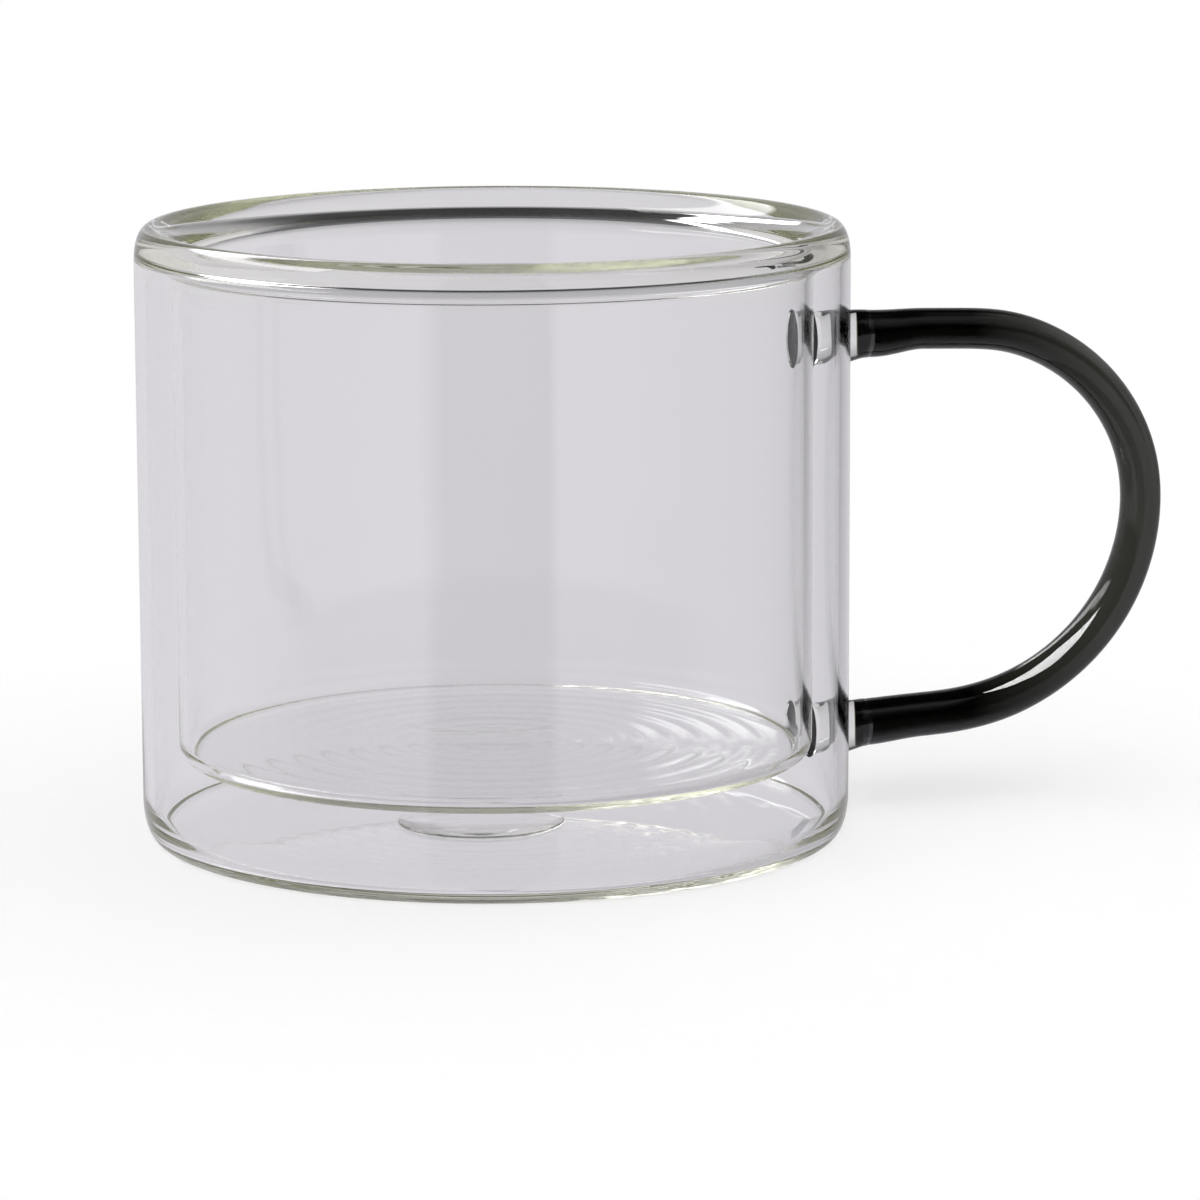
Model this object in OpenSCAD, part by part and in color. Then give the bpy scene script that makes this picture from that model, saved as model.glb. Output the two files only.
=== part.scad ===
// Double-walled drinking cup of clear glass with a bent rod handle of smoky glass.
// The two walls are fused at the rim and stand apart below it, around sealed air.
// Origin: on the cup's axis, in the plane that it stands on. +Z is up, the handle points along +X.

/* [Outer shell] */
// Diameter over the outer wall
shell_d = 85; // [76:0.5:100]
// Height of the whole cup, from the table to the top of the rim
cup_h = 73.2; // [62:0.1:84]
// Thickness of the outer wall
shell_wall = 1.25; // [0.8:0.05:2]
// Thickness of the outer base
base_thick = 1.2; // [0.8:0.05:2.5]
// How far the outside of the base corner draws in from the wall
base_corner_run = 1.6; // [0.8:0.1:5]
// How far the outside of the base corner reaches up the wall
base_corner_rise = 4.5; // [0.8:0.1:8]
// How far the inside of the base corner draws in from the wall
base_hollow_run = 1.75; // [0.8:0.05:5]
// How far the inside of the base corner reaches up from the base
base_hollow_rise = 4; // [0.8:0.1:7]

/* [Inner cup] */
// Sealed air gap between the two walls
air_gap = 3.15; // [2:0.05:6]
// Thickness of the inner wall
cup_wall = 1.05; // [0.7:0.05:2]
// Height of the drinking floor above the table
floor_h = 10.5; // [8:0.1:16]
// Thickness of the drinking floor
floor_thick = 0.9; // [0.7:0.05:2]
// How far the underside corner of the inner cup draws in from its wall
cup_corner_run = 1.5; // [0.6:0.1:5]
// How far the underside corner of the inner cup reaches up its wall
cup_corner_rise = 2; // [0.6:0.1:6]
// Radius of the corner between the drinking floor and the inner wall
floor_corner_r = 1.45; // [0.6:0.05:4]

/* [Rim] */
// Solid glass between the top of the rim and the air gap
rim_depth = 3; // [1.8:0.1:5]
// Height of the flared top of the air gap, from the inner wall up to its highest line
rim_flare_rise = 2.8; // [0.8:0.1:4]
// Distance from the outer wall in to the highest line of the air gap
rim_crown_run = 0.7; // [0.3:0.05:1.5]
// How far the top of the air gap drops from that line to the outer wall
rim_crown_drop = 1.2; // [0.1:0.05:1.6]
// Straight wall of the rim, from the foot of the flare down to the two seams
rim_skirt = 0.6; // [0.5:0.1:3]
// How far the rim's outer shoulder drops to the outer wall
rim_shoulder_drop = 4.65; // [1:0.05:5.5]
// How full the outer shoulder is: 2 is an ellipse, more is squarer
rim_shoulder_fullness = 2.55; // [1.6:0.05:3.5]
// How far the rim's inner lip drops to the inner wall
rim_lip_drop = 3.15; // [0.5:0.05:5]
// Distance from the inner wall out to the highest line of the rim
rim_lip_run = 3.25; // [0.8:0.05:4.2]
// How full the inner lip is: 2 is an ellipse, less is flatter
rim_lip_fullness = 1.6; // [1.5:0.05:3]

/* [Vent seal] */
// Diameter of the vent hole in the outer base
vent_d = 6; // [3:0.5:10]
// Diameter of the glass dab that seals the vent
seal_d = 20; // [12:0.5:30]
// Height of the dab above the inside of the outer base
seal_rise = 1.6; // [0.6:0.1:3]

/* [Handle] */
// Diameter of the handle's rod
rod_d = 5.2; // [4:0.1:7]
// From the outer wall to the middle of the rod at its farthest point
handle_reach = 43.5; // [33:0.1:50]
// From the top of the rim down to the middle of the upper arm
handle_drop = 15.6; // [12:0.05:20]
// Height of the middle of the lower arm
handle_foot_h = 9.5; // [9.3:0.05:14]
// Share of the height between the arms that the upper bend takes
upper_bend_share = 0.48; // [0.4:0.002:0.56]
// Fillet of the clear glass welds at the ends of the rod
weld_fillet_r = 2.2; // [0.6:0.1:2.5]

/* [Hidden] */
$fn = 256;

// Straight steps that an elliptical corner is drawn with
corner_steps = 12;
// How far a cutting solid runs past what it cuts
overrun = 1;

// Radii of the two walls
shell_r = shell_d / 2;
shell_in_r = shell_r - shell_wall;
cup_r = shell_in_r - air_gap;
cup_in_r = cup_r - cup_wall;

// Heights in the rim: highest line of the air gap, foot of its flare, and the seams below it
crown_z = cup_h - rim_depth;
flare_foot_z = crown_z - rim_flare_rise;
seam_z = flare_foot_z - rim_skirt;
// Radii of the highest lines of the air gap and of the rim
crown_r = shell_in_r - rim_crown_run;
rim_ridge_r = cup_in_r + rim_lip_run;

vent_r = vent_d / 2;
rod_r = rod_d / 2;

// Heights of the upper arm and of the farthest point of the handle, where its two bends meet:
// both are quarter circles, and the lower one is a little wider
upper_arm_z = cup_h - handle_drop;
handle_h = upper_arm_z - handle_foot_h;
upper_bend_r = upper_bend_share * handle_h;
lower_bend_r = handle_h - upper_bend_r;
bend_z = upper_arm_z - upper_bend_r;

glass_colour = [0.86, 0.87, 0.88, 0.45];
rim_colour = [0.80, 0.83, 0.78, 0.6];
smoke_colour = [0.10, 0.11, 0.10];

// A cosine or sine, bowed so that an arc drawn with it is fuller than an ellipse or flatter
function bowed(value, fullness) = sign(value) * pow(abs(value), 2 / fullness);

// Points of a rounded corner about a centre, between two angles; fullness 2 makes it an ellipse
function corner_arc(centre_r, centre_z, run, rise, start, end, fullness = 2) = [
    for (i = [0 : corner_steps])
        let (a = start + (end - start) * i / corner_steps)
        [centre_r + run * bowed(cos(a), fullness), centre_z + rise * bowed(sin(a), fullness)]
];

// Outer wall and base, with the vent hole in the middle of the base
module outer_shell() {
    color(glass_colour)
        rotate_extrude()
            polygon(concat(
                [[vent_r, 0]],
                corner_arc(shell_r - base_corner_run, base_corner_rise, base_corner_run, base_corner_rise, -90, 0),
                [[shell_r, seam_z], [shell_in_r, seam_z]],
                corner_arc(shell_in_r - base_hollow_run, base_thick + base_hollow_rise,
                    base_hollow_run, base_hollow_rise, 0, -90),
                [[vent_r, base_thick]]
            ));
}

// Inner wall and drinking floor
module inner_cup() {
    underside_z = floor_h - floor_thick;
    color(glass_colour)
        rotate_extrude()
            polygon(concat(
                [[0, underside_z]],
                corner_arc(cup_r - cup_corner_run, underside_z + cup_corner_rise,
                    cup_corner_run, cup_corner_rise, -90, 0),
                [[cup_r, seam_z], [cup_in_r, seam_z]],
                corner_arc(cup_in_r - floor_corner_r, floor_h + floor_corner_r,
                    floor_corner_r, floor_corner_r, 0, -90),
                [[0, floor_h]]
            ));
}

// Solid fused rim with two short skirts, which end at the seams with the walls
module rim_ring() {
    color(rim_colour)
        rotate_extrude()
            polygon(concat(
                [[shell_r, seam_z]],
                corner_arc(rim_ridge_r, cup_h - rim_shoulder_drop,
                    shell_r - rim_ridge_r, rim_shoulder_drop, 0, 90, rim_shoulder_fullness),
                corner_arc(rim_ridge_r, cup_h - rim_lip_drop, rim_lip_run, rim_lip_drop, 90, 180, rim_lip_fullness),
                [[cup_in_r, seam_z], [cup_r, seam_z]],
                corner_arc(crown_r, flare_foot_z, crown_r - cup_r, rim_flare_rise, 180, 90),
                corner_arc(crown_r, crown_z - rim_crown_drop, rim_crown_run, rim_crown_drop, 90, 0),
                [[shell_in_r, seam_z]]
            ));
}

// Glass dab that fills the vent hole and spreads over the inside of the base
module vent_seal() {
    color(glass_colour)
        rotate_extrude()
            polygon(concat(
                [[0, 0], [vent_r, 0], [vent_r, base_thick]],
                corner_arc(0, base_thick, seal_d / 2, seal_rise, 0, 90)
            ));
}

// Places its children where an arm meets the wall, with their Z along the arm
module at_arm(height) {
    translate([shell_r, 0, height])
        rotate([0, 90, 0])
            children();
}

// Takes the cup's outside away from its child, so that an end inside it comes to lie on the wall
module off_wall() {
    difference() {
        children();
        translate([0, 0, -overrun])
            cylinder(r = shell_r, h = cup_h + 2 * overrun);
    }
}

// Straight stretch of the rod, from the wall to the start of its bend
module rod_arm(height, bend_r) {
    off_wall()
        at_arm(height)
            translate([0, 0, -shell_wall])
                cylinder(r = rod_r, h = shell_wall + handle_reach - bend_r);
}

// Quarter bend of the rod, which rises from the farthest point of the handle
module rod_bend(bend_r) {
    rotate([90, 0, 0])
        translate([-bend_r, 0, 0])
            rotate_extrude(angle = 90)
                translate([bend_r, 0])
                    circle(r = rod_r);
}

// Smoky rod bent into a loop that stands off the wall
module handle() {
    color(smoke_colour) {
        rod_arm(upper_arm_z, upper_bend_r);
        translate([shell_r + handle_reach, 0, bend_z]) {
            rod_bend(upper_bend_r);
            mirror([0, 0, 1])
                rod_bend(lower_bend_r);
        }
        rod_arm(handle_foot_h, lower_bend_r);
    }
}

// Clear collar round the end of the rod, which flares to the outer wall
module handle_weld(height) {
    flare_r = rod_r + weld_fillet_r;
    color(glass_colour)
        off_wall()
            at_arm(height)
                rotate_extrude()
                    difference() {
                        translate([rod_r, -shell_wall])
                            square([weld_fillet_r, shell_wall + weld_fillet_r]);
                        translate([flare_r, weld_fillet_r])
                            circle(r = weld_fillet_r);
                    }
}

module upper_handle_weld() {
    handle_weld(upper_arm_z);
}

module lower_handle_weld() {
    handle_weld(handle_foot_h);
}

outer_shell();
inner_cup();
rim_ring();
vent_seal();
handle();
upper_handle_weld();
lower_handle_weld();
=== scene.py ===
import math

import bpy
import numpy as np
from mathutils import Matrix, Vector


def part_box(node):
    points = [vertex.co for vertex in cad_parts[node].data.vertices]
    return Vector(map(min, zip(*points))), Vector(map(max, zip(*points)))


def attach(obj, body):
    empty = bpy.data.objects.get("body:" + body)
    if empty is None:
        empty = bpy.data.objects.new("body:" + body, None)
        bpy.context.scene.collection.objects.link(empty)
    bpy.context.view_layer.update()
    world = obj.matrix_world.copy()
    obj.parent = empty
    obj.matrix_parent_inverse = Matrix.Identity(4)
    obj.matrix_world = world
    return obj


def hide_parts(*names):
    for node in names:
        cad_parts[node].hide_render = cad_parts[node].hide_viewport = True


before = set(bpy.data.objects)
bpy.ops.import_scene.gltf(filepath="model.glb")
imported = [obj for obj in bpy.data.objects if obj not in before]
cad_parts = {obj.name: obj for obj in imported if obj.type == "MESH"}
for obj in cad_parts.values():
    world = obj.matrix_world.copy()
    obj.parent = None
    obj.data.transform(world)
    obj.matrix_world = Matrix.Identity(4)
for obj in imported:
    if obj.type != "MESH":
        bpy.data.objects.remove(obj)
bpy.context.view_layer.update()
scene = bpy.context.scene
scene.view_settings.view_transform = "Standard"
mm = 0.001  # lengths below are in millimetres, in the frame of the solids
print("frame loaded:", len(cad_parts), "solids")

# a path through the cup meets up to sixteen glass faces, and hundreds where the rim traps it in a wall
scene.cycles.max_bounces = 400
scene.cycles.transmission_bounces = 400
scene.cycles.glossy_bounces = 400
scene.cycles.transparent_max_bounces = 256


# size of a solid's box in millimetres, as lowest corner and highest corner
def boxOf(node):
    low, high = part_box(node)
    return np.array(low) / mm, np.array(high) / mm


shellHigh = boxOf("outer_shell")[1]
cupLow, cupHigh = boxOf("inner_cup")
rimHigh = boxOf("rim_ring")[1]
sealHigh = boxOf("vent_seal")[1]
shellRadius = shellHigh[1]
cupRadius = cupHigh[1]
seamHeight = shellHigh[2]
rimTop = rimHigh[2]
sealRadius = sealHigh[1]
hairGap = 0.004  # faces that touch stand this far apart, so that none lie on each other
sameLevel = 0.001  # heights closer than this are one level

# camera of the photograph, found from the cup's own ellipses: place, aim and roll
cameraShape = {
    "aim": (12.61, 0.0, 27.63),
    "distance": 678.4,
    "elevation": 10.334,
    "swing": -21.0,
    "roll": 0.197,
    "focalPixels": 5651.4,
    "imagePixels": 1200,
    "sensor": 36,
    "clip": (0.01, 20),
}


# the camera looks along the y axis, tipped down and swung about the cup, and then rolls about its view
def makeCamera():
    shape = cameraShape
    swing, rise, roll = (math.radians(shape[key]) for key in ("swing", "elevation", "roll"))
    turn = np.array([[math.cos(swing), -math.sin(swing), 0],
                     [math.sin(swing), math.cos(swing), 0],
                     [0, 0, 1]])
    ahead = turn @ np.array([0, math.cos(rise), -math.sin(rise)])
    right = turn @ np.array([1.0, 0, 0])
    up = np.cross(right, ahead)
    across = right * math.cos(roll) - up * math.sin(roll)
    above = right * math.sin(roll) + up * math.cos(roll)
    place = (turn @ np.array(shape["aim"]) - ahead * shape["distance"]) * mm
    camera = bpy.data.cameras.new("photo_camera")
    camera.sensor_width = shape["sensor"]
    camera.lens = shape["focalPixels"] / shape["imagePixels"] * shape["sensor"]
    camera.clip_start, camera.clip_end = shape["clip"]
    holder = bpy.data.objects.new("photo_camera", camera)
    scene.collection.objects.link(holder)
    matrix = np.eye(4)
    matrix[:3, 0], matrix[:3, 1], matrix[:3, 2], matrix[:3, 3] = across, above, -ahead, place
    holder.matrix_world = Matrix(matrix.tolist())
    scene.camera = holder


makeCamera()
print("camera set")


# points of a rounded corner: centre plus run times cosine and rise times sine of an even row of angles, each
# raised to 2 over the fullness: 2 is an ellipse, more is squarer and less is flatter
def arcPoints(centre, run, rise, start, end, count, fullness=2.0):
    angle = np.radians(np.linspace(start, end, count))
    across, up = (np.sign(wave) * np.abs(wave) ** (2 / fullness) for wave in (np.cos(angle), np.sin(angle)))
    return np.column_stack([centre[0] + run * across, centre[1] + rise * up])


# points of a straight stretch: an even blend from one end to the other
def linePoints(first, last, count):
    share = np.linspace(0, 1, count)[:, None]
    return np.array(first, float) * (1 - share) + np.array(last, float) * share


# stretches joined end to end; each comes with 1 where it is a fused seam, which light crosses unbent
def joinStretches(*stretches):
    points = [stretches[0][0][:1]]
    seams = []
    for stretch, isSeam in stretches:
        points.append(stretch[1:])
        seams.append(np.full(len(stretch) - 1, isSeam))
    return np.vstack(points), np.concatenate(seams)


# S-shaped curve from 0 to 1: three times the square of the share less twice its cube
def smoothStep(share):
    share = np.clip(share, 0, 1)
    return share * share * (3 - 2 * share)


# low rings left by the lathe flame: a cosine of the distance from the axis, which fades at both ends
ringFade = {"inner": 2.0, "outer": 3.0}


def flameRings(radius, look, inner, outer):
    fadeIn = np.clip((radius - inner) / ringFade["inner"], 0, 1)
    fadeOut = np.clip((outer - radius) / ringFade["outer"], 0, 1)
    wave = np.cos(2 * math.pi * radius / look["ringPitch"] + look["ringPhase"])
    return look["ringSize"] * (fadeIn * fadeOut) * wave


# waves of the drinking floor: rings round the axis, and the edge of a low oval swelling
def floorWaves(x, y, look):
    rings = flameRings(np.hypot(x, y), look, look["ringFrom"], look["ringTo"])
    turn = math.radians(cameraShape["swing"])
    across = (x - look["swellX"]) * math.cos(turn) + (y - look["swellY"]) * math.sin(turn)
    ahead = (y - look["swellY"]) * math.cos(turn) - (x - look["swellX"]) * math.sin(turn)
    oval = np.hypot(across / look["swellWide"], ahead / look["swellDeep"])
    swell = look["swellRise"] / (1 + np.exp((oval - 1) / look["swellEdge"]))
    return rings + swell


# the vent sits a little off the axis: what is low in the base is carried sideways, fully near the middle
# and not at all towards the edge
ventShift = {"x": -2.6, "y": -1.8, "fullTo": 12.0, "noneFrom": 30.0, "below": 3.2}


def shiftVent(places):
    shape = ventShift
    radius = np.hypot(places[:, 0], places[:, 1])
    share = smoothStep((shape["noneFrom"] - radius) / (shape["noneFrom"] - shape["fullTo"]))
    share = np.where(places[:, 2] < shape["below"], share, 0)
    places[:, 0] += shape["x"] * share
    places[:, 1] += shape["y"] * share
    return places


# quads of a grid of rows and columns, closed round the columns; a face looks to the right of its row's travel
def gridQuads(rows, columns, closedRows):
    row = np.arange(rows if closedRows else rows - 1)
    column = np.arange(columns)
    here, beside = np.meshgrid(row, column, indexing="ij")
    nextRow = (here + 1) % rows
    nextColumn = (beside + 1) % columns
    corners = [here * columns + beside, here * columns + nextColumn,
               nextRow * columns + nextColumn, nextRow * columns + beside]
    return np.stack(corners, -1).reshape(-1, 4)


# triangles that close the first row of a grid on one pole and its last row on another
def closingFans(near, far, firstPole, lastPole):
    startFan = np.stack([np.full(len(near), firstPole), np.roll(near, -1), near], -1)
    endFan = np.stack([far, np.roll(far, -1), np.full(len(far), lastPole)], -1)
    return startFan.tolist() + endFan.tolist()


# mesh from whole arrays: places in millimetres, faces with their seam marks, and rows whose edges stay crisp
def meshPiece(name, places, faces, marks, material, crispPairs=None):
    mesh = bpy.data.meshes.new(name)
    mesh.from_pydata((places * mm).tolist(), [], faces)
    mesh.polygons.foreach_set("use_smooth", np.ones(len(faces), bool))
    seam = mesh.attributes.new("seam", "FLOAT", "FACE")
    seam.data.foreach_set("value", np.asarray(marks, np.float32))
    if crispPairs is not None:
        ends = np.empty(len(mesh.edges) * 2, np.int32)
        mesh.edges.foreach_get("vertices", ends)
        label = crispPairs[ends.reshape(-1, 2)]
        crisp = mesh.attributes.new("sharp_edge", "BOOLEAN", "EDGE")
        crisp.data.foreach_set("value", (label[:, 0] >= 0) & (label[:, 0] == label[:, 1]))
    mesh.update()
    mesh.materials.append(material)
    piece = bpy.data.objects.new(name, mesh)
    scene.collection.objects.link(piece)
    return piece


# profile turned about the axis: x is radius times cosine, y is radius times sine, z is the profile's height.
# An open profile starts and ends on the axis, and closes there in a fan.
def turnedSurface(points, seams, columns):
    closed = bool(np.allclose(points[0], points[-1]))
    rings = points[:-1] if closed else points[1:-1]
    angle = np.arange(columns) * 2 * math.pi / columns
    places = np.stack([rings[:, :1] * np.cos(angle), rings[:, :1] * np.sin(angle),
                       np.repeat(rings[:, 1:], columns, 1)], -1).reshape(-1, 3)
    edgeSeams = seams if closed else seams[1:-1]
    marks = np.repeat(edgeSeams, columns)
    before = np.roll(edgeSeams, 1) if closed else np.concatenate([seams[:1], edgeSeams])
    after = edgeSeams if closed else np.concatenate([edgeSeams, seams[-1:]])
    crispRows = np.where(before != after, np.arange(len(rings)), -1)
    labels = np.repeat(crispRows, columns)
    faces = gridQuads(len(rings), columns, closed).tolist()
    if not closed:
        near = np.arange(columns)
        far = near + (len(rings) - 1) * columns
        faces += closingFans(near, far, len(places), len(places) + 1)
        marks = np.concatenate([marks, np.full(columns, seams[0]), np.full(columns, seams[-1])])
        poles = np.array([[0, 0, points[0, 1]], [0, 0, points[-1, 1]]])
        places = np.vstack([places, poles])
        labels = np.concatenate([labels, [-1, -1]])
    return places, faces, marks, labels


# nodes and links by name, so that a material reads as a short list
def addNode(tree, kind, inputs=None, **settings):
    node = tree.nodes.new(kind)
    for key, value in settings.items():
        setattr(node, key, value)
    for key, value in (inputs or {}).items():
        if isinstance(value, bpy.types.NodeSocket):
            tree.links.new(value, node.inputs[key])
        else:
            node.inputs[key].default_value = value
    return node


# empty material and its nodes
def newMaterial(name):
    material = bpy.data.materials.new(name)
    material.use_nodes = True
    material.node_tree.nodes.clear()
    return material, material.node_tree


# colours of a ramp, each at its place from 0 to 1
def setStops(ramp, values):
    stops = ramp.color_ramp.elements
    while len(stops) < len(values):
        stops.new(0.5)
    for stop, (place, colour) in zip(stops, values):
        stop.position = place
        stop.color = (*colour, 1)


# blown glass: clear body with a green tint where the glass is thick, faint draw lines along its height,
# patches of a slightly different tone, and shadows that let light through
def glassMaterial(name, look):
    material, tree = newMaterial(name)
    place = addNode(tree, "ShaderNodeTexCoord").outputs["Object"]
    drawn = addNode(tree, "ShaderNodeMapping", {"Vector": place, "Scale": look["lineScale"]}).outputs[0]
    lines = addNode(tree, "ShaderNodeTexNoise", {
        "Vector": drawn, "Scale": 1.0, "Detail": 2.0, "Roughness": 0.45})
    haze = addNode(tree, "ShaderNodeTexNoise", {"Vector": place, "Scale": look["hazeScale"], "Detail": 3.0})
    tone = addNode(tree, "ShaderNodeMix", {
        0: haze.outputs[0], 6: (*look["tint"], 1), 7: (*look["hazeTint"], 1)}, data_type="RGBA")
    bump = addNode(tree, "ShaderNodeBump", {
        "Height": lines.outputs[0], "Strength": look["lineStrength"], "Distance": look["lineDepth"]})
    body = addNode(tree, "ShaderNodeBsdfPrincipled", {
        "Base Color": tone.outputs[2], "Roughness": 0.0, "IOR": look["ior"],
        "Transmission Weight": 1.0, "Normal": bump.outputs[0]})
    # as through a polarizer, upright faces lose most of their slanted reflections
    amount = addNode(tree, "ShaderNodeFresnel", {"IOR": look["ior"], "Normal": bump.outputs[0]}).outputs[0]
    ramp = addNode(tree, "ShaderNodeValToRGB", {"Fac": amount})
    setStops(ramp, [(stop, (share,) * 3) for stop, share in look["calm"]])
    normal = addNode(tree, "ShaderNodeNewGeometry").outputs["Normal"]
    facing = addNode(tree, "ShaderNodeSeparateXYZ", {"Vector": normal})
    tilt = addNode(tree, "ShaderNodeMath", {0: facing.outputs[2]}, operation="ABSOLUTE").outputs[0]
    upright = addNode(tree, "ShaderNodeMapRange", {
        "Value": tilt, "From Min": 0.2, "From Max": 0.6, "To Min": 1.0, "To Max": 0.0}).outputs[0]
    calm = addNode(tree, "ShaderNodeMath", {0: ramp.outputs[0], 1: upright}, operation="MULTIPLY").outputs[0]
    if "calmTo" in look:
        reach = addNode(tree, "ShaderNodeSeparateXYZ", {"Vector": place}).outputs[0]
        near = addNode(tree, "ShaderNodeMapRange", {
            "Value": reach, "From Min": look["calmTo"][0] * mm, "From Max": look["calmTo"][1] * mm,
            "To Min": 1.0, "To Max": 0.0}).outputs[0]
        calm = addNode(tree, "ShaderNodeMath", {0: calm, 1: near}, operation="MULTIPLY").outputs[0]
    plain = addNode(tree, "ShaderNodeBsdfRefraction", {
        "Color": (1, 1, 1, 1), "Roughness": 0.0, "IOR": look["ior"], "Normal": bump.outputs[0]})
    calmed = addNode(tree, "ShaderNodeMixShader", {0: calm, 1: body.outputs[0], 2: plain.outputs[0]})
    if "calmTo" in look:
        milky = addNode(tree, "ShaderNodeMapRange", {
            "Value": near, "From Min": 1.0, "From Max": 0.0,
            "To Min": 0.0, "To Max": look["milk"]}).outputs[0]
        cloud = addNode(tree, "ShaderNodeBsdfDiffuse", {"Color": (*look["milkTint"], 1)})
        calmed = addNode(tree, "ShaderNodeMixShader", {0: milky, 1: calmed.outputs[0], 2: cloud.outputs[0]})
    seam = addNode(tree, "ShaderNodeAttribute", attribute_name="seam").outputs["Fac"]
    fused = addNode(tree, "ShaderNodeBsdfTransparent")
    joined = addNode(tree, "ShaderNodeMixShader", {0: seam, 1: calmed.outputs[0], 2: fused.outputs[0]})
    through = addNode(tree, "ShaderNodeBsdfTransparent", {"Color": (*look["shade"], 1)})
    path = addNode(tree, "ShaderNodeLightPath")
    mixed = addNode(tree, "ShaderNodeMixShader", {
        0: path.outputs["Is Shadow Ray"], 1: joined.outputs[0], 2: through.outputs[0]})
    inside = addNode(tree, "ShaderNodeVolumeAbsorption", {
        "Color": (*look["absorb"], 1), "Density": look["density"]})
    addNode(tree, "ShaderNodeOutputMaterial", {"Surface": mixed.outputs[0], "Volume": inside.outputs[0]})
    return material


shellLook = {
    "tint": (0.994, 0.993, 0.996),
    "hazeTint": (1.0, 1.0, 1.0),
    "absorb": (0.36, 0.395, 0.0),
    "density": 4.8,
    "ior": 1.47,
    "calm": ((0.0, 0.0), (0.036, 0.0), (0.0445, 0.64), (0.066, 1.0), (0.135, 0.84), (0.19, 0.73),
             (0.27, 0.53), (0.385, 0.37), (0.6, 0.2), (1.0, 0.0)),
    "hazeScale": 60.0,
    "lineScale": (420.0, 420.0, 14.0),
    "lineStrength": 0.005,
    "lineDepth": 0.0004,
    "shade": (0.97, 0.97, 0.97),
}
cupLook = dict(shellLook)
rimLook = dict(shellLook, absorb=(0.6, 0.645, 0.0), density=9.0, lineStrength=0.0015)
weldLook = dict(rimLook)
smokyLook = dict(
    shellLook,
    tint=(0.9, 0.9, 0.9),
    hazeTint=(0.85, 0.85, 0.85),
    absorb=(0.1, 0.14, 0.0),
    density=2200.0,
    shade=(0.3, 0.31, 0.3),
    calm=((0.0, 0.9), (0.2, 0.9), (0.6, 0.2), (1.0, 0.0)),
    calmTo=(62.0, 80.0),  # the rod's arms are calm and clear, the far bend is shinier and faintly milky
    milk=0.016,
    milkTint=(0.66, 0.69, 0.55),
)
shellGlass = glassMaterial("clear_glass_shell", shellLook)
cupGlass = glassMaterial("clear_glass_cup", cupLook)
rimGlass = glassMaterial("rim_glass", rimLook)
weldGlass = glassMaterial("weld_glass", weldLook)
smokyGlass = glassMaterial("smoky_glass", smokyLook)
print("materials ready")

# the two clear pads that weld the rod to the wall: height of the middle, half width and half height of the
# foot on the wall, and the stretch of wall that is drawn in close rows for it. The rod in them: how far its
# end sinks, and its half height and half width there.
upperRoot = {
    "footHeight": 57.2,
    "footWide": 3.05,
    "footTall": 3.6,
    "square": (51.0, 62.8),
    "squareRows": 29,
    "sink": 0.6,
    "tall": 2.9,
    "wide": 2.7,
}
lowerRoot = {
    "footHeight": 8.65,
    "footWide": 3.15,
    "footTall": 3.55,
    "square": (4.6, 13.4),
    "squareRows": 25,
    "sink": 0.15,
    "tall": 2.9,
    "wide": 2.8,
}
# the rod's dark ends stand inside the pads, this far from the axis, cut at a slant, farther out at the back
rodEnd = {"start": 47.0, "slant": 0.383, "slantReach": 2.5}
padLength = 5.9  # from the wall to where a pad thins out on the rod


# slant of the rod's rows, which fades out with their distance from its end
def slantAt(away):
    return rodEnd["slant"] * np.clip(1 - away / rodEnd["slantReach"], 0, 1)


# outer wall and base. The profile runs along the underside, up the wall, and back down inside.
shellShape = {
    "wall": 1.25,
    "base": 1.2,
    "cornerRun": 1.6,
    "cornerRise": 4.5,
    "hollowRun": 1.75,
    "hollowRise": 4.0,
    "vent": 3.0,
    "ringSize": 0.004,
    "ringPitch": 3.4,
    "ringPhase": 0.6,
    "ringClear": (1, 2),  # the rings keep off the seal and off the wall
    "columns": 384,
    "underRows": 30,
    "cornerRows": 20,
    "floorRows": 70,
    "middleRows": 12,  # wall rows between the two feet
    "topRows": 4,  # wall rows above the upper foot
    "footReach": 8,  # columns to each side of a foot that are drawn again
    "footRings": 8,
}


# wall rows that leave room for a weld's foot: heights that keep clear of both feet, with a square round each
def wallHeights(low, high):
    lower, upper = lowerRoot["square"], upperRoot["square"]
    rows = [[low],
            np.linspace(*lower, lowerRoot["squareRows"]),
            np.linspace(lower[1], upper[0], shellShape["middleRows"]),
            np.linspace(*upper, upperRoot["squareRows"]),
            np.linspace(upper[1], high, shellShape["topRows"])]
    return np.unique(np.concatenate(rows).round(6))


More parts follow.
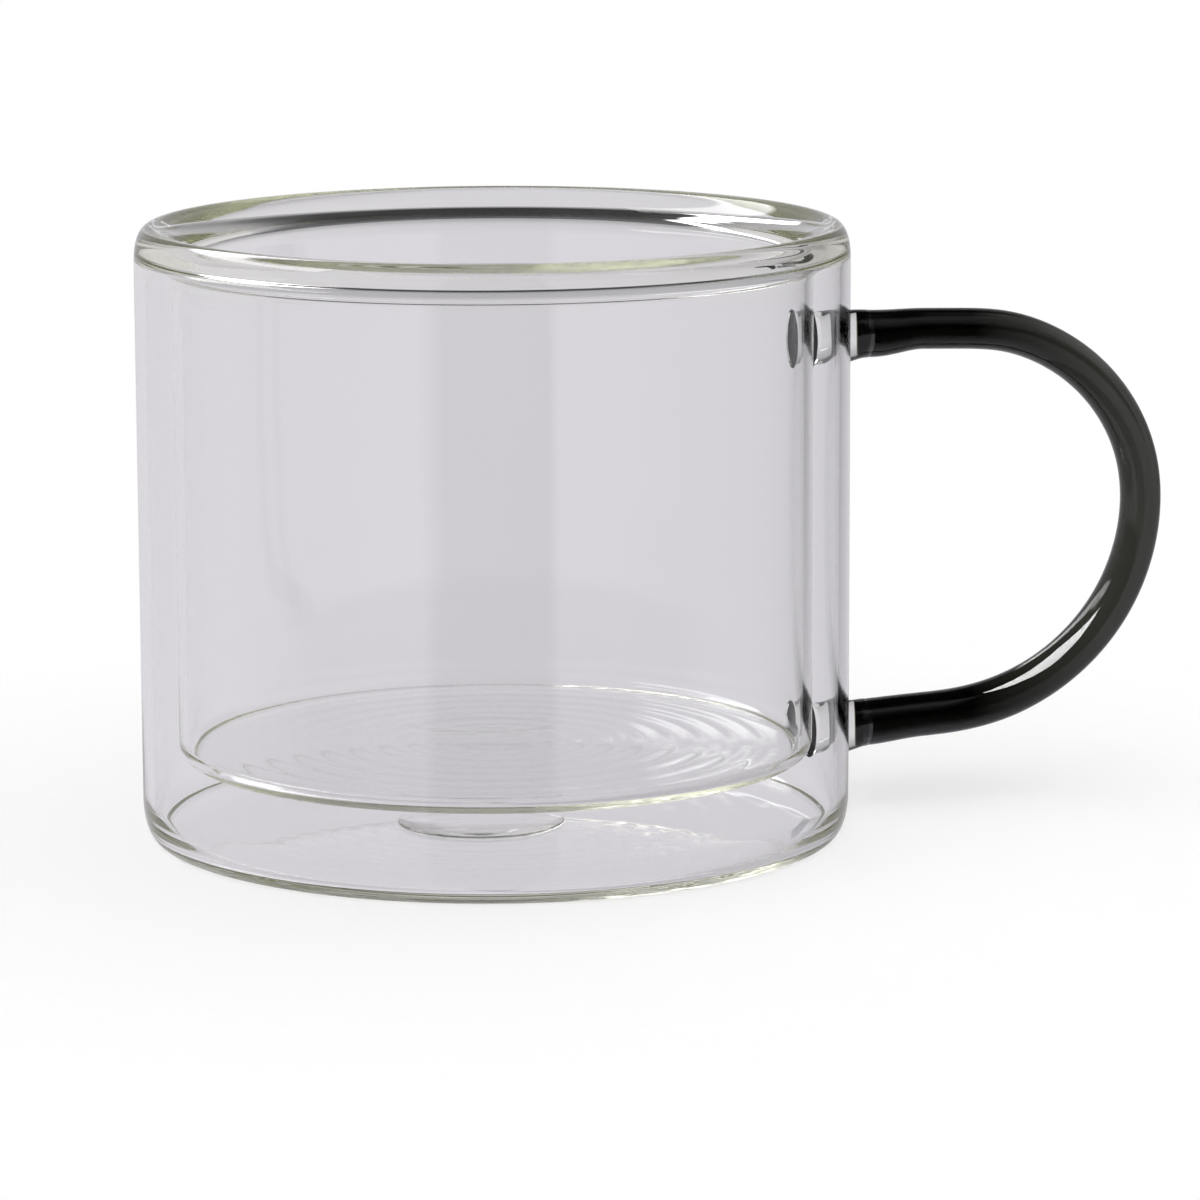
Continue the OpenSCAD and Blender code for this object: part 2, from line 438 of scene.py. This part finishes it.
# the square of wall round a foot is drawn again as rings that close in from the square to the foot's outline,
# and on to its middle; the part inside the outline is a fused seam
def footPatch(places, faces, marks, labels, rowStart, rowEnd, root):
    faces = np.array(faces)
    columns, reach = shellShape["columns"], shellShape["footReach"]
    side = np.arange(-reach, reach + 1) % columns
    rows = np.arange(rowStart, rowEnd + 1)
    loop = np.concatenate([rowStart * columns + side, rows[1:-1] * columns + side[-1],
                           rowEnd * columns + side[::-1], rows[1:-1][::-1] * columns + side[0]])
    corner = places[loop]
    radius = np.hypot(corner[0, 0], corner[0, 1])
    spot = np.column_stack([corner[:, 1], corner[:, 2]])
    middle = np.array([0, root["footHeight"]])
    toward = np.arctan2((spot[:, 1] - middle[1]) / root["footTall"], spot[:, 0] / root["footWide"])
    outline = middle + np.column_stack([root["footWide"] * np.cos(toward), root["footTall"] * np.sin(toward)])
    share = np.linspace(0, 1, shellShape["footRings"] + 1)[1:, None, None]
    outside = spot * (1 - share) + outline * share
    inside = outline * (1 - share[:-1]) + middle * share[:-1]
    flat = np.vstack([outside.reshape(-1, 2), inside.reshape(-1, 2), middle[None]])
    added = np.column_stack([np.sqrt(radius ** 2 - flat[:, 0] ** 2), flat])
    count = len(loop)
    ringCount = len(outside) + len(inside)
    start = len(places)
    rings = np.vstack([loop[None], start + np.arange(ringCount * count).reshape(ringCount, count)])
    outer, inner = rings[:-1], rings[1:]
    quads = np.stack([outer, np.roll(outer, -1, 1), np.roll(inner, -1, 1), inner], -1).reshape(-1, 4)
    quadMarks = np.repeat((np.arange(ringCount) >= len(outside)).astype(int), count)
    hub = start + ringCount * count
    fan = np.stack([rings[-1], np.roll(rings[-1], -1), np.full(count, hub)], -1)
    faceRow = faces // columns
    faceColumn = (faces % columns + reach) % columns
    within = (faceRow.min(1) >= rowStart) & (faceRow.max(1) <= rowEnd) & (faceColumn.max(1) <= 2 * reach)
    everything = np.vstack([places, added])
    allLabels = np.concatenate([labels, np.full(len(added), -1)])
    return everything, faces[~within], marks[~within], quads, quadMarks, fan, allLabels


def makeShell():
    shape = shellShape
    inside = shellRadius - shape["wall"]
    top = seamHeight - hairGap
    base = shape["base"]
    cornerFoot = shellRadius - shape["cornerRun"]
    hollowFoot = inside - shape["hollowRun"]
    hollowTop = base + shape["hollowRise"]
    wallRows = wallHeights(shape["cornerRise"], top)
    wall = np.column_stack([np.full(len(wallRows), shellRadius), wallRows])
    under = linePoints((shape["vent"], 0), (cornerFoot, 0), shape["underRows"])
    floor = linePoints((hollowFoot, base), (sealRadius, base), shape["floorRows"])
    offSeal, offWall = shape["ringClear"]
    floor[:, 1] += flameRings(floor[:, 0], shape, sealRadius + offSeal, inside - offWall)
    points, seams = joinStretches(
        (under, 0),
        (arcPoints((cornerFoot, shape["cornerRise"]), shape["cornerRun"], shape["cornerRise"], -90, 0,
                   shape["cornerRows"]), 0),
        (wall, 0),
        (linePoints((shellRadius, top), (inside, top), 2), 1),
        (linePoints((inside, top), (inside, hollowTop), 6), 0),
        (arcPoints((hollowFoot, hollowTop), shape["hollowRun"], shape["hollowRise"], 0, -90,
                   shape["cornerRows"]), 0),
        (floor, 0),
        (linePoints((sealRadius, base), (shape["vent"], base), 3), 1),
        (linePoints((shape["vent"], base), (shape["vent"], 0), 2), 1),
    )
    places, faces, marks, labels = turnedSurface(points, seams, shape["columns"])
    firstWall = len(under) + shape["cornerRows"] - 2  # joined stretches share their end points
    quads, fans, quadMarks, fanMarks = [], [], [], []
    for root in (lowerRoot, upperRoot):
        rowStart, rowEnd = (firstWall + int(np.argmin(abs(wallRows - height))) for height in root["square"])
        places, faces, marks, square, squareMarks, fan, labels = footPatch(
            places, faces, marks, labels, rowStart, rowEnd, root)
        quads.append(square)
        quadMarks.append(squareMarks)
        fans.append(fan)
        fanMarks.append(np.ones(len(fan), int))
    allQuads = np.vstack([faces] + quads)
    allFans = np.vstack(fans)
    used = np.unique(np.concatenate([allQuads.ravel(), allFans.ravel()]))
    renumber = np.full(len(places), -1)
    renumber[used] = np.arange(len(used))
    faceList = renumber[allQuads].tolist() + renumber[allFans].tolist()
    faceMarks = np.concatenate([marks] + quadMarks + fanMarks)
    shifted = shiftVent(places[used])
    piece = meshPiece("outer_shell_glass", shifted, faceList, faceMarks, shellGlass, labels[used])
    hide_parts("outer_shell")
    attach(piece, "root")
    return piece


# inner wall and drinking floor. The profile runs out under the floor, up the wall, down inside and back in.
cupShape = {
    "wall": 1.05,
    "floor": 0.9,
    "cornerRun": 1.5,
    "cornerRise": 2.0,
    "floorCorner": 1.45,
    "ringSize": 0.011,
    "ringPitch": 3.7,
    "ringPhase": 0.4,
    "ringFrom": 5.0,
    "ringTo": 35.0,
    "swellX": 2.0,
    "swellY": 10.7,
    "swellWide": 9.2,
    "swellDeep": 5.1,
    "swellRise": 0.06,
    "swellEdge": 0.05,
    "columns": 384,
    "underRows": 70,
    "floorRows": 110,
    "cornerRows": 16,
    "wallRows": 8,
}


def makeCup():
    shape = cupShape
    inside = cupRadius - shape["wall"]
    under = cupLow[2]
    floor = under + shape["floor"]
    top = seamHeight - hairGap
    corner = shape["floorCorner"]
    cornerFoot = cupRadius - shape["cornerRun"]
    cornerTop = under + shape["cornerRise"]
    points, seams = joinStretches(
        (linePoints((0, under), (cornerFoot, under), shape["underRows"]), 0),
        (arcPoints((cornerFoot, cornerTop), shape["cornerRun"], shape["cornerRise"], -90, 0,
                   shape["cornerRows"]), 0),
        (linePoints((cupRadius, cornerTop), (cupRadius, top), shape["wallRows"]), 0),
        (linePoints((cupRadius, top), (inside, top), 2), 1),
        (linePoints((inside, top), (inside, floor + corner), shape["wallRows"]), 0),
        (arcPoints((inside - corner, floor + corner), corner, corner, 0, -90, shape["cornerRows"]), 0),
        (linePoints((inside - corner, floor), (0, floor), shape["floorRows"]), 0),
    )
    places, faces, marks, labels = turnedSurface(points, seams, shape["columns"])
    onFloor = abs(places[:, 2] - floor) < sameLevel
    places[onFloor, 2] += floorWaves(places[onFloor, 0], places[onFloor, 1], shape)
    piece = meshPiece("inner_cup_glass", places, faces, marks, cupGlass, labels)
    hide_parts("inner_cup")
    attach(piece, "root")
    return piece


# fused rim with the flared top of the air gap under it. The profile runs up the outer shoulder, over the top
# and down the lip, then up the flare to the highest line of the gap and down to the outer wall.
rimShape = {
    "depth": 2.986,
    "flareRise": 2.794,
    "crownRun": 0.677,
    "crownDrop": 1.2,
    "shoulderDrop": 4.663,
    "shoulderFullness": 2.548,
    "lipDrop": 3.147,
    "lipRun": 3.274,
    "lipFullness": 1.615,
    "columns": 384,
    "curveRows": 56,
    "flareRows": 40,
    "crownRows": 12,
}


def makeRim():
    shape = rimShape
    shellInside = shellRadius - shellShape["wall"]
    cupInside = cupRadius - cupShape["wall"]
    ridge = cupInside + shape["lipRun"]
    shoulder = rimTop - shape["shoulderDrop"]
    lip = rimTop - shape["lipDrop"]
    crown = rimTop - shape["depth"]
    crownFoot = crown - shape["crownDrop"]
    spring = crown - shape["flareRise"]
    crownRadius = shellInside - shape["crownRun"]
    points, seams = joinStretches(
        (linePoints((shellRadius, seamHeight), (shellRadius, shoulder), 6), 0),
        (arcPoints((ridge, shoulder), shellRadius - ridge, shape["shoulderDrop"], 0, 90,
                   shape["curveRows"], shape["shoulderFullness"]), 0),
        (arcPoints((ridge, lip), shape["lipRun"], shape["lipDrop"], 90, 180,
                   shape["curveRows"], shape["lipFullness"]), 0),
        (linePoints((cupInside, lip), (cupInside, seamHeight), 6), 0),
        (linePoints((cupInside, seamHeight), (cupRadius, seamHeight), 2), 1),
        (linePoints((cupRadius, seamHeight), (cupRadius, spring), 4), 0),
        (arcPoints((crownRadius, spring), crownRadius - cupRadius, shape["flareRise"], 180, 90,
                   shape["flareRows"]), 0),
        (arcPoints((crownRadius, crownFoot), shape["crownRun"], shape["crownDrop"], 90, 0,
                   shape["crownRows"]), 0),
        (linePoints((shellInside, crownFoot), (shellInside, seamHeight), 4), 0),
        (linePoints((shellInside, seamHeight), (shellRadius, seamHeight), 2), 1),
    )
    places, faces, marks, labels = turnedSurface(points, seams, shape["columns"])
    piece = meshPiece("rim_ring_glass", places, faces, marks, rimGlass, labels)
    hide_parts("rim_ring")
    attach(piece, "root")
    return piece


# glass dab over the vent: a low dome inside, and the stem that fills the hole flush with the underside
sealShape = {"rise": 0.6, "fullness": 2.4, "columns": 192, "domeRows": 48}


def makeSeal():
    shape = sealShape
    stem = shellShape["vent"] - hairGap
    base = shellShape["base"] + hairGap
    points, seams = joinStretches(
        (linePoints((0, 0), (stem, 0), 6), 0),
        (linePoints((stem, 0), (stem, base), 2), 1),
        (linePoints((stem, base), (sealRadius, base), 3), 1),
        (arcPoints((0, base), sealRadius, shape["rise"], 0, 90, shape["domeRows"], shape["fullness"]), 0),
    )
    points[-1, 0] = 0
    places, faces, marks, labels = turnedSurface(points, seams, shape["columns"])
    piece = meshPiece("vent_seal_glass", shiftVent(places), faces, marks, cupGlass, labels)
    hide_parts("vent_seal")
    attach(piece, "root")
    return piece


# smooth line through a few points: a natural cubic spline along the distance between them
def splinePoints(points, count):
    knots = np.array(points)
    gaps = np.hypot(*np.diff(knots, axis=0).T)
    along = np.concatenate([[0], np.cumsum(gaps)])
    system = np.eye(len(knots))
    right = np.zeros((len(knots), 2))
    slopes = np.diff(knots, axis=0) / gaps[:, None]
    for row in range(1, len(knots) - 1):
        system[row, row - 1:row + 2] = gaps[row - 1], 2 * (gaps[row - 1] + gaps[row]), gaps[row]
        right[row] = 6 * (slopes[row] - slopes[row - 1])
    bends = np.linalg.solve(system, right)
    at = np.linspace(0, along[-1], count)
    piece = np.clip(np.searchsorted(along, at) - 1, 0, len(gaps) - 1)
    before = (at - along[piece])[:, None]
    after = (along[piece + 1] - at)[:, None]
    gap = gaps[piece][:, None]
    curve = (bends[piece] * after ** 3 + bends[piece + 1] * before ** 3) / (6 * gap)
    curve += (knots[piece] / gap - bends[piece] * gap / 6) * after
    curve += (knots[piece + 1] / gap - bends[piece + 1] * gap / 6) * before
    return curve


# smoky rod: a circle carried along a loop, a little thicker towards its lower end and where it enters the
# pads. Its middle is given from the upper end to the lower one, its radius by share of the length.
handleShape = {
    "middle": ((47.0, 58.11), (50.0, 57.96), (54.4, 57.75), (60.79, 57.45), (67.1, 56.78), (73.1, 54.61),
               (78.39, 51.02), (82.57, 46.19), (85.23, 40.39), (85.98, 34.06), (84.91, 27.76),
               (82.23, 21.96), (78.14, 17.05), (72.98, 13.29), (67.09, 10.81), (60.8, 9.65), (54.4, 9.39),
               (50.0, 9.23), (47.0, 9.12)),
    "shares": (0.0, 0.3, 0.5, 0.8, 1.0),
    "radii": (2.52, 2.54, 2.55, 2.74, 2.74),
    "swellFrom": 9.0,  # distance from an end where the rod starts to sink and swell
    "swellOver": 7.0,  # and the length over which it does
    "bareFrom": 0.4,  # the rod's surface shows this far before a pad's thin end
    "rows": 260,
    "round": 72,
}


# middle, half height and half width of the rod at each row: it sinks and swells over the last millimetres
def rodShape():
    shape = handleShape
    path = splinePoints(shape["middle"], shape["rows"])
    along = np.concatenate([[0], np.cumsum(np.hypot(*np.diff(path, axis=0).T))])
    radius = np.interp(along / along[-1], shape["shares"], shape["radii"])
    tall, wide = radius.copy(), radius.copy()
    for away, root in ((along, upperRoot), (along[-1] - along, lowerRoot)):
        share = smoothStep((shape["swellFrom"] - away) / shape["swellOver"])
        path[:, 1] -= share * root["sink"]
        tall += share * (root["tall"] - tall)
        wide += share * (root["wide"] - wide)
    return path, along, tall, wide


def makeHandle():
    shape = handleShape
    path, along, tall, wide = rodShape()
    fromEnd = np.minimum(along, along[-1] - along)
    travel = np.gradient(path, axis=0)
    travel[0] = (1, 0)
    travel[-1] = (-1, 0)
    travel /= np.hypot(*travel.T)[:, None]
    across = np.column_stack([-travel[:, 1], travel[:, 0]])  # in the loop's plane, square to the rod
    count = shape["round"]
    turn = np.arange(count) * 2 * math.pi / count
    outX = path[:, :1] + tall[:, None] * across[:, :1] * np.cos(turn)
    outZ = path[:, 1:] + tall[:, None] * across[:, 1:] * np.cos(turn)
    outY = -wide[:, None] * np.sin(turn)
    outX += slantAt(fromEnd)[:, None] * outY
    places = np.stack([outX, outY, outZ], -1).reshape(-1, 3)
    near = np.arange(count)
    far = near + (len(path) - 1) * count
    faces = gridQuads(len(path), count, False).tolist()
    faces += closingFans(near, far, len(places), len(places) + 1)
    inPad = fromEnd[:-1] < shellRadius + padLength - rodEnd["start"] - shape["bareFrom"]
    marks = np.concatenate([np.repeat(inPad.astype(int), count), np.ones(2 * count, int)])
    places = np.vstack([places, [[path[0, 0], 0, path[0, 1]], [path[-1, 0], 0, path[-1, 1]]]])
    labels = np.full(len(places), -1)
    labels[near] = 0
    labels[far] = 1
    piece = meshPiece("smoky_handle", places, faces, marks, smokyGlass, labels)
    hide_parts("handle")
    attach(piece, "root")
    return piece


# clear pad between wall and rod: its outline stays near the foot's, then closes on the rod in an S-shaped
# curve; the rod's dark end stands in a socket in its middle
padShape = {
    "skin": 0.05,
    "shoulder": 2.6,
    "fillet": 0.35,
    "filletReach": 0.45,
    "thinEnd": 0.02,
    "round": 96,
    "rows": 26,
    "footRows": 7,
    "socketRows": 8,
    "rodRows": 40,  # rows at an end of the rod among which the pad looks up its size
}


def makePad(name, node, root, atStart):
    shape = padShape
    path, _, rodTall, rodWide = rodShape()
    if not atStart:
        path, rodTall, rodWide = path[::-1], rodTall[::-1], rodWide[::-1]

    # a measure of the rod at a distance from the axis
    def rodAt(reach, values):
        return np.interp(reach, path[:shape["rodRows"], 0], values[:shape["rodRows"]])

    turn = np.arange(shape["round"]) * 2 * math.pi / shape["round"]
    out = np.linspace(0, padLength, shape["rows"])[:, None]
    reach = shellRadius + out
    endTall = rodAt(reach, rodTall) + shape["skin"]
    endWide = rodAt(reach, rodWide) + shape["skin"]
    flow = smoothStep((out - shape["shoulder"]) / (padLength - shape["shoulder"]))
    spread = shape["fillet"] * np.exp(-(out / shape["filletReach"]) ** 2)  # fillet on the wall
    centre = root["footHeight"] * (1 - flow) + rodAt(reach, path[:, 1]) * flow
    tall = (root["footTall"] - shape["fillet"]) * (1 - flow) + endTall * flow + spread
    wide = (root["footWide"] - shape["fillet"]) * (1 - flow) + endWide * flow + spread
    sideways = wide * np.cos(turn)
    height = centre + tall * np.sin(turn)
    hollow = shellRadius - np.sqrt(shellRadius ** 2 - sideways ** 2)  # the wall falls away beside the foot
    outer = np.stack([reach - hollow * (1 - out / padLength) + hairGap, sideways, height], -1)
    # foot on the wall, ring by ring from its middle
    shrink = np.arange(1, shape["footRows"] + 1)[:, None] / (shape["footRows"] + 1)
    footY = root["footWide"] * np.cos(turn) * shrink
    footZ = root["footHeight"] + root["footTall"] * np.sin(turn) * shrink
    foot = np.stack([np.sqrt(shellRadius ** 2 - footY ** 2) + hairGap, footY, footZ], -1)
    # socket round the rod's end, from the pad's thin end back to the dark end
    thinEnd = shellRadius + padLength - shape["thinEnd"]
    back = np.linspace(thinEnd, rodEnd["start"] - hairGap, shape["socketRows"])[:, None]
    socketMiddle = rodAt(back, path[:, 1])
    socketY = (rodAt(back, rodWide) + hairGap) * np.cos(turn)
    socketZ = socketMiddle + (rodAt(back, rodTall) + hairGap) * np.sin(turn)
    socketX = back + slantAt(back - rodEnd["start"]) * socketY
    socket = np.stack([socketX, socketY, socketZ], -1)
    grid = np.vstack([foot, outer, socket])
    rows, count = grid.shape[:2]
    places = grid.reshape(-1, 3)
    near = np.arange(count)
    far = near + (rows - 1) * count
    faces = gridQuads(rows, count, False).tolist()
    faces += closingFans(near, far, len(places), len(places) + 1)
    rowIndex = np.arange(rows - 1)
    rowMarks = (rowIndex < len(foot)) | (rowIndex >= len(foot) + len(outer))
    marks = np.concatenate([np.repeat(rowMarks.astype(int), count), np.ones(2 * count, int)])
    poles = [[shellRadius + hairGap, 0, root["footHeight"]],
             [rodEnd["start"] - hairGap, 0, socketMiddle[-1, 0]]]
    places = np.vstack([places, poles])
    labels = np.full(len(places), -1)
    labels[near + len(foot) * count] = 0
    labels[near + (len(foot) + len(outer) - 1) * count] = 1
    labels[far] = 2
    piece = meshPiece(name, places, faces, marks, weldGlass, labels)
    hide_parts(node)
    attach(piece, "root")
    return piece


cupPieces = [makeShell(), makeCup(), makeRim(), makeSeal(), makeHandle(),
             makePad("upper_weld_glass", "upper_handle_weld", upperRoot, True),
             makePad("lower_weld_glass", "lower_handle_weld", lowerRoot, False)]
print("pieces made:", ", ".join(piece.name for piece in cupPieces))

# studio: plain white for the camera; glass and gloss see a room, with a pale table and a backdrop that falls
# off into a dark ceiling. Angles are in degrees: heights from the horizon, and turns from the camera's side,
# above 0 on its right and below 0 on its left.
studioLook = {
    "soft": 0.9,
    "table": (0.71, 0.695, 0.735),
    "fall": ((-90, 1.0), (2, 1.0), (7, 0.93), (12, 0.86), (16, 0.76), (20, 0.69), (28, 0.63), (33, 0.58),
             (37, 0.48), (41, 0.25), (46, 0.1), (52, 0.05)),
    # dimmer parts and lights: from left to right, from low to high, soft edge, level
    "dims": (
        (-21.0, 21.0, -99.0, 99.0, 1.0, 0.52),  # round the camera
        (-80.0, 80.0, 1.0, 99.0, 4.0, 0.12),  # dark room in front, above the table
        (-125.0, -60.0, -99.0, 99.0, 25.0, 0.8),  # left side
        (98.0, 168.0, -99.0, 99.0, 14.0, 0.72),  # right side and behind
        (110.0, 156.0, -9.0, 8.0, 4.0, 0.65),  # far edge of the table on the right
    ),
    "boxes": (
        (-164.0, -62.0, 31.0, 46.0, 1.5, 5.0),  # softbox high on the left
        (171.0, 178.3, 10.4, 11.5, 0.4, 0.9),  # small strip low behind the cup
        (50.0, 135.0, 20.0, 60.0, 6.0, 0.4),  # dim glow on the right
    ),
}


def makeStudio():
    look = studioLook
    world = bpy.data.worlds.new("studio")
    scene.world = world
    world.use_nodes = True
    tree = world.node_tree
    tree.nodes.clear()
    toward = addNode(tree, "ShaderNodeTexCoord").outputs["Generated"]
    faced = addNode(tree, "ShaderNodeVectorRotate", {
        "Vector": toward, "Angle": -math.radians(cameraShape["swing"])}, rotation_type="Z_AXIS")
    axes = addNode(tree, "ShaderNodeSeparateXYZ", {"Vector": faced.outputs[0]})

    def maths(operation, first, second=0.0):
        return addNode(tree, "ShaderNodeMath", {0: first, 1: second}, operation=operation).outputs[0]

    # a smooth step between two angles
    def step(value, start, end, before, after):
        return addNode(tree, "ShaderNodeMapRange", {
            "Value": value, "From Min": start, "From Max": end, "To Min": before, "To Max": after},
            interpolation_type="SMOOTHSTEP").outputs[0]

    # 1 between two angles, with soft ends
    def band(value, low, high, soft):
        rising = step(value, low - soft, low + soft, 0.0, 1.0)
        falling = step(value, high - soft, high + soft, 1.0, 0.0)
        return maths("MULTIPLY", rising, falling)

    toDegrees = 180 / math.pi
    frontward = maths("MULTIPLY", axes.outputs[1], -1.0)
    turn = maths("MULTIPLY", maths("ARCTAN2", axes.outputs[0], frontward), toDegrees)
    rise = maths("MULTIPLY", maths("ARCSINE", axes.outputs[2]), toDegrees)

    # 1 in a part of the room, with soft edges
    def part(left, right, low, high, soft):
        return maths("MULTIPLY", band(turn, left, right, soft), band(rise, low, high, soft))

    height = addNode(tree, "ShaderNodeMapRange", {
        "Value": rise, "From Min": -90.0, "From Max": 90.0}).outputs[0]
    ramp = addNode(tree, "ShaderNodeValToRGB", {"Fac": height})
    setStops(ramp, [((angle + 90) / 180, [level * value for value in look["table"]])
                    for angle, level in look["fall"]])
    dim = 1.0
    for *edges, level in look["dims"]:
        dim = maths("MULTIPLY", dim, maths("SUBTRACT", 1.0, maths("MULTIPLY", part(*edges), 1.0 - level)))
    light = 0.0
    for *edges, level in look["boxes"]:
        light = maths("ADD", light, maths("MULTIPLY", part(*edges), level))
    room = addNode(tree, "ShaderNodeBackground", {"Color": ramp.outputs[0], "Strength": dim})
    lamp = addNode(tree, "ShaderNodeBackground", {"Color": (1, 1, 1, 1), "Strength": light})
    studio = addNode(tree, "ShaderNodeAddShader", {0: room.outputs[0], 1: lamp.outputs[0]})
    soft = addNode(tree, "ShaderNodeBackground", {"Color": (1, 1, 1, 1), "Strength": look["soft"]})
    white = addNode(tree, "ShaderNodeBackground", {"Color": (1, 1, 1, 1), "Strength": 1.0})
    path = addNode(tree, "ShaderNodeLightPath")
    glassy = maths("MAXIMUM", path.outputs["Is Glossy Ray"], path.outputs["Is Transmission Ray"])
    inGlass = addNode(tree, "ShaderNodeMixShader", {0: glassy, 1: soft.outputs[0], 2: studio.outputs[0]})
    seen = addNode(tree, "ShaderNodeMixShader", {
        0: path.outputs["Is Camera Ray"], 1: inGlass.outputs[0], 2: white.outputs[0]})
    addNode(tree, "ShaderNodeOutputWorld", {"Surface": seen.outputs[0]})


makeStudio()

# lamp high in front that lights the rod alone, for the streak on its lower bend
rodLamp = {
    "turn": -10.0,
    "rise": 61.0,
    "aim": (75.0, 0.0, 15.0),
    "distance": 500.0,
    "wide": 380.0,
    "tall": 320.0,
    "power": 7.5,
}


def makeRodLamp():
    look = rodLamp
    turn = math.radians(look["turn"] + cameraShape["swing"])
    rise = math.radians(look["rise"])
    toward = Vector((math.sin(turn) * math.cos(rise), -math.cos(turn) * math.cos(rise), math.sin(rise)))
    lamp = bpy.data.lights.new("rod_lamp", "AREA")
    lamp.shape = "RECTANGLE"
    lamp.size, lamp.size_y = look["wide"] * mm, look["tall"] * mm
    lamp.energy = look["power"]
    holder = bpy.data.objects.new("rod_lamp", lamp)
    place = Vector(look["aim"]) * mm + toward * look["distance"] * mm
    holder.matrix_world = Matrix.Translation(place) @ toward.to_track_quat("Z", "Y").to_matrix().to_4x4()
    scene.collection.objects.link(holder)
    lit = bpy.data.collections.new("lit_by_rod_lamp")
    lit.objects.link(bpy.data.objects["smoky_handle"])
    holder.light_linking.receiver_collection = lit


makeRodLamp()

# pale floor that fades into the white round it, and keeps the cup's soft shadow
floorLook = {
    "radius": 170.0,
    "fadeFrom": 80.0,
    "fadeTo": 166.6,
    "level": -0.05,
    "pale": 0.8,
    "lift": 0.28,
    "columns": 96,
    "rows": 12,
}


# rings round the axis with a fan in their middle
def makeFloor():
    look = floorLook
    columns, rows = look["columns"], look["rows"]
    spread = np.linspace(0, look["radius"], rows + 1)[1:, None]
    angle = np.arange(columns) * 2 * math.pi / columns
    grid = np.stack([spread * np.cos(angle), spread * np.sin(angle),
                     np.full((rows, columns), look["level"])], -1).reshape(-1, 3)
    places = np.vstack([grid, [[0, 0, look["level"]]]])
    quads = gridQuads(rows, columns, False)[:, ::-1]
    near = np.arange(columns)
    fan = np.stack([near, np.roll(near, -1), np.full(columns, len(grid))], -1)
    faces = quads.tolist() + fan.tolist()
    material, tree = newMaterial("pale_floor")
    place = addNode(tree, "ShaderNodeTexCoord").outputs["Object"]
    away = addNode(tree, "ShaderNodeVectorMath", {0: place}, operation="LENGTH").outputs["Value"]
    fade = addNode(tree, "ShaderNodeMapRange", {
        "Value": away, "From Min": look["fadeFrom"] * mm, "From Max": look["fadeTo"] * mm,
        "To Min": 1.0, "To Max": 0.0}, interpolation_type="SMOOTHSTEP").outputs[0]
    path = addNode(tree, "ShaderNodeLightPath")
    shown = addNode(tree, "ShaderNodeMath", {
        0: fade, 1: path.outputs["Is Camera Ray"]}, operation="MULTIPLY").outputs[0]
    matt = addNode(tree, "ShaderNodeBsdfDiffuse", {"Color": (look["pale"],) * 3 + (1,)})
    glow = addNode(tree, "ShaderNodeEmission", {"Color": (1, 1, 1, 1), "Strength": look["lift"]})
    both = addNode(tree, "ShaderNodeAddShader", {0: matt.outputs[0], 1: glow.outputs[0]})
    clear = addNode(tree, "ShaderNodeBsdfTransparent")
    mixed = addNode(tree, "ShaderNodeMixShader", {0: shown, 1: clear.outputs[0], 2: both.outputs[0]})
    addNode(tree, "ShaderNodeOutputMaterial", {"Surface": mixed.outputs[0]})
    floor = meshPiece("studio_floor", places, faces, np.zeros(len(faces)), material)


makeFloor()
print("studio, lamp and floor set")
